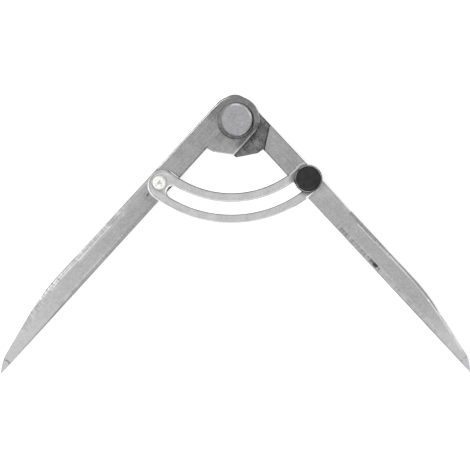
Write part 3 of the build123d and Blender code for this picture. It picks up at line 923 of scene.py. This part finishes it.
def makePlatedSteel(values, centre, top):
    material, tree, shader = newMaterial("nickel plated steel", 1.0, values["roughness"])
    place = inMillimetres(tree)
    speckle = grains(tree, place, values["speckle"])
    up = addNode(tree, "ShaderNodeSeparateXYZ", inputs={0: place}).outputs[2]
    lowest, highest, soft = values["punchShadeDepth"]
    inside = fade(tree, flatRadius(tree, inMillimetres(tree, centre)), *values["punchShadeRadius"])
    # painted shade in the punch mark
    punchShade = times(tree, band(tree, up, top - lowest, top - highest, soft), inside)
    normal = addNode(tree, "ShaderNodeTexCoord").outputs["Normal"]
    upward = addNode(tree, "ShaderNodeSeparateXYZ", inputs={0: normal}).outputs[2]
    # painted light on the chamfer
    bevel = band(tree, upward, *values["bevelFacing"])
    tone = layered(tree, values["tone"], [
        (speckle, values["speckleTone"]),
        (punchShade, values["punchShadeTone"]),
        (bevel, values["bevelTone"]),
    ])
    rough = addNode(tree, "ShaderNodeMix", {"data_type": "FLOAT"},
                    {0: bevel, 2: values["roughness"], 3: values["bevelRoughness"]})
    tree.links.new(rough.outputs[0], shader.inputs["Roughness"])
    tinted(tree, shader, tone, values)
    bumped(tree, shader, speckle, values["speckleDepth"])
    return material


# Knurled head: rolled steel, dark, with a painted highlight round its top face and painted light on its
# sides.
# Lengths are in millimetres from the head's middle.
knurledSteel = {
    "darkHex": "#0C0C0D",
    "lightHex": "#C8C8C9",
    "roughness": 0.34,
    "tone": 0.04,
    "speckle": 1.2,
    "speckleTone": 0.05,
    "line": (-1.05, -0.88),  # painted highlight, out from the head's radius
    "lineSoft": 0.1,
    "lineTone": 0.75,
    "lineBelow": (6.4, 5.0),  # the painted highlight fades away at the top
    # and nearly fades away where this much x and y add up past the two lengths
    "lineFaded": [((1.0, -0.7), (5.2, 5.8)), ((-1.0, 0.3), (5.3, 5.9))],
    "fadeWeight": -0.75,
    # painted light on the sides of the head
    "upperSide": {"y": (4.5, 6.5), "tone": 0.3},
    "lowerSide": {"y": (-4.5, -6.5), "tone": 0.06},
    "rightSide": {"x": (0.0, 5.0), "tone": 0.12},
    "leftSide": {"x": (-5.0, -6.5), "y": (-1.0, 1.0), "tone": 0.22},
}


def makeKnurledSteel(values, centre, outerRadius):
    material, tree, shader = newMaterial("knurled steel", 1.0, values["roughness"])
    place = inMillimetres(tree, centre)
    speckle = grains(tree, place, values["speckle"])
    x, y, _ = addNode(tree, "ShaderNodeSeparateXYZ", inputs={0: place}).outputs
    low, high = (outerRadius + distance for distance in values["line"])
    line = times(tree, band(tree, flatRadius(tree, place), low, high, values["lineSoft"]),
                 fade(tree, y, *values["lineBelow"]))
    for (shareX, shareY), reach in values["lineFaded"]:
        sideways = layered(tree, 0.0, [(x, shareX), (y, shareY)])
        line = times(tree, line, layered(tree, 1.0, [(fade(tree, sideways, *reach), values["fadeWeight"])]))
    upper, lower = values["upperSide"], values["lowerSide"]
    right, left = values["rightSide"], values["leftSide"]
    tone = layered(tree, values["tone"], [
        (line, values["lineTone"]),
        (speckle, values["speckleTone"]),
        (fade(tree, y, *upper["y"]), upper["tone"]),
        (fade(tree, y, *lower["y"]), lower["tone"]),
        (fade(tree, x, *right["x"]), right["tone"]),
        (times(tree, fade(tree, x, *left["x"]), fade(tree, y, *left["y"])), left["tone"]),
    ])
    tinted(tree, shader, tone, values)
    return material


# ABS cap, moulded with a fine spark texture, so it is black and matt, with painted shade on its rounded
# edge and a painted sheen inside it
blackPlastic = {
    "darkHex": "#000000",
    "lightHex": "#242425",
    "roughness": 0.55,
    "ior": 1.53,
    "specular": 0.36,
    "tone": 0.45,
    "texture": 0.5,
    "textureTone": 0.3,
    "textureDepth": 0.02,
    "cloudSize": 3.0,
    "cloudTone": 0.4,
    "edge": (0.9, 0.5),  # painted shade on the rounded edge, mm in from the edge
    "edgeTone": -0.35,
    "sheen": (1.5, 1.2, 0.3),  # a paler arc below the middle, mm in from the edge and soft width
    "sheenBelow": (-3.0, -5.0),
    "sheenTone": 0.9,
}


def makeBlackPlastic(values, centre, outerRadius):
    material, tree, shader = newMaterial("black ABS plastic", 0.0, values["roughness"])
    shader.inputs["IOR"].default_value = values["ior"]
    shader.inputs["Specular IOR Level"].default_value = values["specular"]
    place = inMillimetres(tree, centre)
    grain = grains(tree, place, values["texture"])
    cloud = grains(tree, place, values["cloudSize"], detail=3.0, seed=4.0)
    radius = flatRadius(tree, place)
    y = addNode(tree, "ShaderNodeSeparateXYZ", inputs={0: place}).outputs[1]
    edge = fade(tree, radius, *(outerRadius - distance for distance in values["edge"]))
    innermost, outermost, soft = values["sheen"]
    sheen = times(tree, band(tree, radius, outerRadius - innermost, outerRadius - outermost, soft),
                  fade(tree, y, *values["sheenBelow"]))
    tone = layered(tree, values["tone"], [
        (grain, values["textureTone"]),
        (cloud, values["cloudTone"]),
        (edge, values["edgeTone"]),
        (sheen, values["sheenTone"]),
    ])
    tinted(tree, shader, tone, values)
    bumped(tree, shader, grain, values["textureDepth"])
    return material


# Clamp screw's M4 thread, rolled, in place of the plain shank. Lengths in mm.
screwThread = {
    "pitch": 0.7,
    "depth": 0.43,
    "threadedTo": 9.1,
    "point": 0.6,
    "rowsPerPitch": 8,
    "sides": 40,
    "flank": (1.4, 0.25),  # slope of the flanks, and how flat the crests are
}


def threadRadius(values, radius, turn, z, low):
    # the thread's radius at a height and a share of a turn, with a bevelled point
    phase = (z / values["pitch"] - turn) % 1.0
    slope, crest = values["flank"]
    sunk = min(1.0, max(0.0, abs(2 * phase - 1) * slope - crest))
    return min(radius - values["depth"] * sunk, radius - values["point"] + z - low)


def makeThreadedScrew(values, centre, low, high, radius):
    steps = values["rowsPerPitch"] / values["pitch"]
    heights = [low + row / steps for row in range(int((values["threadedTo"] - low) * steps))] + [high]
    sides = values["sides"]
    mesh = bmesh.new()
    rings = []
    for z in heights:
        ring = []
        for side in range(sides):
            turn = side / sides
            r = radius if z == high else threadRadius(values, radius, turn, z, low)
            x, y = r * math.cos(turn * math.tau), r * math.sin(turn * math.tau)
            ring.append(mesh.verts.new((centre[0] + x, centre[1] + y, z)))
        rings.append(ring)
    for lower, upper in zip(rings, rings[1:]):
        for i in range(sides):
            j = (i + 1) % sides
            mesh.faces.new((lower[i], lower[j], upper[j], upper[i]))
    mesh.faces.new(rings[0][::-1])
    mesh.faces.new(rings[-1])
    bmesh.ops.scale(mesh, vec=[millimetre] * 3, verts=mesh.verts)
    data = bpy.data.meshes.new("threadedScrew")
    mesh.to_mesh(data)
    mesh.free()
    data.shade_smooth()
    piece = bpy.data.objects.new("threadedScrew", data)
    bpy.context.scene.collection.objects.link(piece)
    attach(piece, "clamp_knob")
    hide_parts("clamp_screw")
    return piece


def dress(material, *nodes):
    for node in nodes:
        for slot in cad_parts[node].material_slots:
            slot.material = material


def middleAndRadius(node):
    low, high = (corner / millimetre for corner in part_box(node))
    middle = (low + high) / 2
    return (middle.x, middle.y, 0), (high.x - low.x) / 2


for node, leg in legs.items():
    dress(makeLegSteel(node, legSteel, leg), node)
headMiddle, headRadius = middleAndRadius("pivot_rivet")
headRim = [headRadius + distance for distance in turnedSteel["headRim"]]
dress(makeTurnedSteel("turned steel, head", turnedSteel, headMiddle, headRim), "pivot_rivet")
washerRadius = middleAndRadius("pivot_washer")[1]
dress(makeWasherSteel(washerSteel, headMiddle, headRadius, washerRadius), "pivot_washer")
screwMiddle, knobRadius = middleAndRadius("knob")
clampSteel = makeTurnedSteel("turned steel, clamp", turnedSteel, screwMiddle, turnedSteel["clampRim"])
dress(clampSteel, "clamp_washer", "clamp_screw")
rivetMiddle, _ = middleAndRadius("wing_rivet")
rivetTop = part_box("wing_rivet")[1].z / millimetre
dress(makeWingSteel(wingSteel, rivetMiddle, screwMiddle), "wing")
dress(makePlatedSteel(platedSteel, rivetMiddle, rivetTop), "wing_rivet")
dress(makeKnurledSteel(knurledSteel, screwMiddle, knobRadius), "knob")
capRadius = middleAndRadius("knob_cap")[1]
dress(makeBlackPlastic(blackPlastic, screwMiddle, capRadius), "knob_cap")
print("materials on")

screwLow, screwHigh = (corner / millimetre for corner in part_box("clamp_screw"))
screwRadius = (screwHigh.x - screwLow.x) / 2
threadedScrew = makeThreadedScrew(screwThread, screwMiddle, screwLow.z, screwHigh.z, screwRadius)
threadedScrew.data.materials.append(clampSteel)
print("screw threaded")
